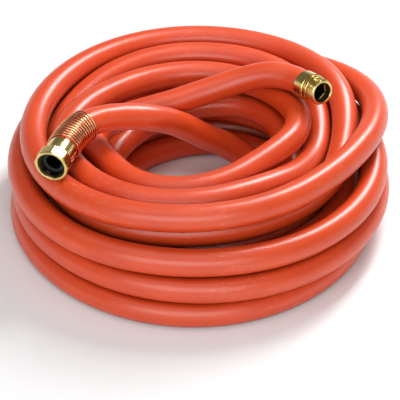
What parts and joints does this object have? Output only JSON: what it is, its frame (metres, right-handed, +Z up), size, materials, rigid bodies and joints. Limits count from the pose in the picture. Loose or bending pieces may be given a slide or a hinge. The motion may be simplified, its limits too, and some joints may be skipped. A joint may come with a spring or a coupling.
{
  "type": "garden hose",
  "caption": "Coiled red rubber garden hose with a brass swivel-nut coupling under a wire spring guard at one end and a brass male coupling at the other.",
  "frame": {"origin": "centre of the bounding box of the coil, on the surface that it lies on", "axes": "+Z up out of the coil, -Y toward the side on which the female coupling's mouth points, +X toward the male coupling's side"},
  "size_m": [0.3934, 0.3934, 0.1496],
  "materials": {
    "red_rubber": "satin, smooth",
    "black_rubber": "matte",
    "polyester_cord": "matte, spiral yarn",
    "brass": "polished",
    "coppered_steel": "bright copper-coloured wire"
  },
  "bodies": {
    "hose": {"hose_coil": "red_rubber", "hose_lead_female": "red_rubber", "hose_lead_male": "red_rubber", "hose_inner_tube_female": "black_rubber", "hose_reinforcement_female": "polyester_cord", "hose_cover_female": "red_rubber", "hose_inner_tube_male": "black_rubber", "hose_reinforcement_male": "polyester_cord", "hose_cover_male": "red_rubber", "female_tailpiece": "brass", "female_ferrule": "brass", "spring_guard": "coppered_steel", "male_stem": "brass", "male_ferrule": "brass"},
    "nut": {"swivel_nut": "brass", "sealing_washer": "black_rubber"}
  },
  "joints": [
    {"name": "swivel_nut_spin", "type": "hinge", "parent": "hose", "child": "nut", "pos_m": [-0.14066, -0.10054, 0.13194], "axis": [-0.3201, -0.9474, 0], "continuous": true}
  ]
}
